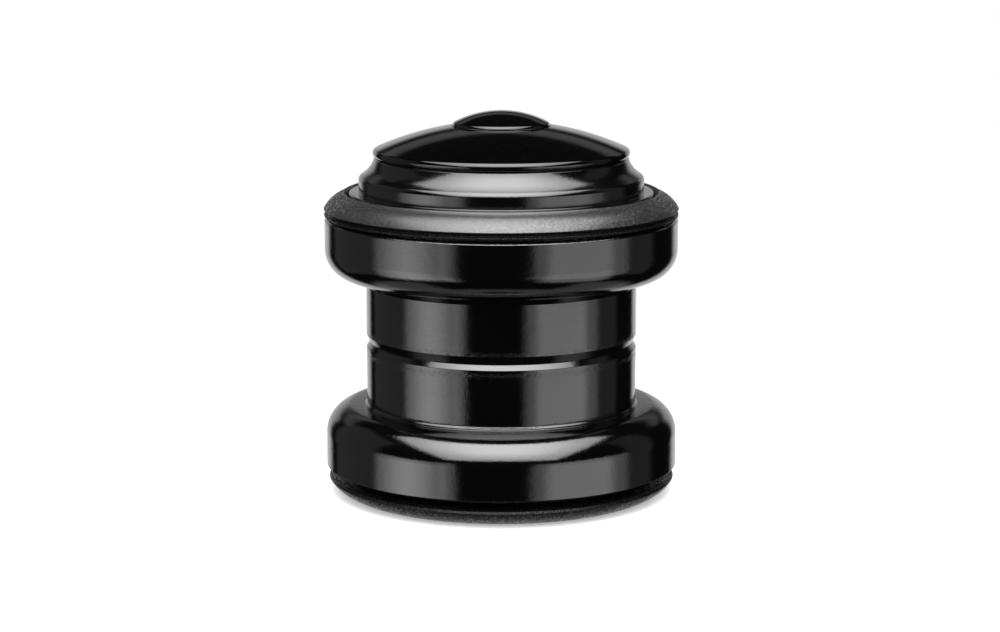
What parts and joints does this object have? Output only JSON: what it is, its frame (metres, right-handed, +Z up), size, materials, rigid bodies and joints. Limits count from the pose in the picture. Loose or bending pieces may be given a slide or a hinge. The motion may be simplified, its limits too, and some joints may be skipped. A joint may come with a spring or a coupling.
{
  "type": "bicycle headset",
  "caption": "Threadless bicycle headset with external press-in cups, sealed cartridge bearings, bearing cover, domed top cap and crown race, stacked ready to fit.",
  "frame": {"origin": "on the steering axis, at the foot of the crown race where it stands on the fork crown", "axes": "+Z up along the steering axis, from the crown race to the top cap; X and Y are free to turn about it"},
  "size_m": [0.0446, 0.0446, 0.0484],
  "materials": {
    "black_aluminium": "gloss black anodised, slight orange peel",
    "black_plastic": "gloss black moulded",
    "seal_rubber": "matt black with a fine sparkling grain",
    "race_steel": "turned, black oxide",
    "plain_aluminium": "turned, bare",
    "bolt_steel": "black oxide",
    "zinc_steel": "zinc plated",
    "spring_steel": "pressed spring steel",
    "bearing_steel": "ground",
    "ball_steel": "polished",
    "cage_plastic": "natural nylon",
    "bearing_rubber": "smooth black rubber"
  },
  "bodies": {
    "cups": {"upper_cup": "black_aluminium", "lower_cup": "black_aluminium", "upper_bearing_outer_ring": "bearing_steel", "upper_bearing_outer_seat_seal": "bearing_rubber", "upper_bearing_inner_seat_seal": "bearing_rubber", "lower_bearing_outer_ring": "bearing_steel", "lower_bearing_outer_seat_seal": "bearing_rubber", "lower_bearing_inner_seat_seal": "bearing_rubber"},
    "upper_steering": {"upper_bearing_inner_ring": "bearing_steel", "compression_ring": "plain_aluminium", "bearing_cover": "black_aluminium", "cover_seal": "seal_rubber", "top_cap": "black_aluminium", "bolt_plug": "black_plastic", "cap_bolt": "bolt_steel", "star_nut_core": "zinc_steel", "star_nut_upper_star": "spring_steel", "star_nut_lower_star": "spring_steel"},
    "lower_steering": {"lower_bearing_inner_ring": "bearing_steel", "crown_race": "race_steel", "crown_race_seal": "seal_rubber"},
    "upper_ball_train": {"upper_bearing_balls": "ball_steel", "upper_bearing_cage": "cage_plastic"},
    "lower_ball_train": {"lower_bearing_balls": "ball_steel", "lower_bearing_cage": "cage_plastic"}
  },
  "joints": [
    {"name": "upper_turn", "type": "hinge", "parent": "cups", "child": "upper_steering", "pos_m": [0, 0, 0.0322], "axis": [0, 0, 1], "continuous": true},
    {"name": "lower_turn", "type": "hinge", "parent": "cups", "child": "lower_steering", "pos_m": [0, 0, 0.0067], "axis": [0, 0, 1], "continuous": true},
    {"name": "upper_ball_orbit", "type": "hinge", "parent": "cups", "child": "upper_ball_train", "pos_m": [0, 0, 0.0322], "axis": [0, 0, 1], "continuous": true},
    {"name": "lower_ball_orbit", "type": "hinge", "parent": "cups", "child": "lower_ball_train", "pos_m": [0, 0, 0.0067], "axis": [0, 0, 1], "continuous": true}
  ],
  "couplings": [
    {"joint": "upper_ball_orbit", "follows": "upper_turn", "ratio": 0.4686},
    {"joint": "lower_ball_orbit", "follows": "lower_turn", "ratio": 0.4686}
  ]
}
